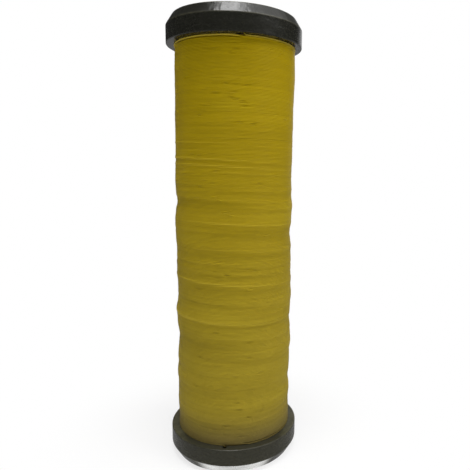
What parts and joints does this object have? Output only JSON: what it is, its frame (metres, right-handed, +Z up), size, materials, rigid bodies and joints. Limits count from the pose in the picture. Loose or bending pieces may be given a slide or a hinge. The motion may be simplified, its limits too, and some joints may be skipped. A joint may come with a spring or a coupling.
{
  "type": "string reel",
  "caption": "Tall cylindrical reel of yellow racket string, wound on a hollow core between two black bevelled end caps with spindle bores.",
  "frame": {"origin": "on the surface that the reel stands on, on the reel's axis", "axes": "+Z up along the reel's axis; -Y is the front"},
  "size_m": [0.076, 0.076, 0.252],
  "materials": {
    "core_board": "plain spiral-wound board",
    "cap_plastic": "moulded, semi-gloss black",
    "string": "coated multifilament string, satin"
  },
  "bodies": {
    "root": {"core_tube": "core_board", "top_cap": "cap_plastic", "bottom_cap": "cap_plastic", "inner_winding": "string", "outer_winding": "string"}
  },
  "joints": []
}
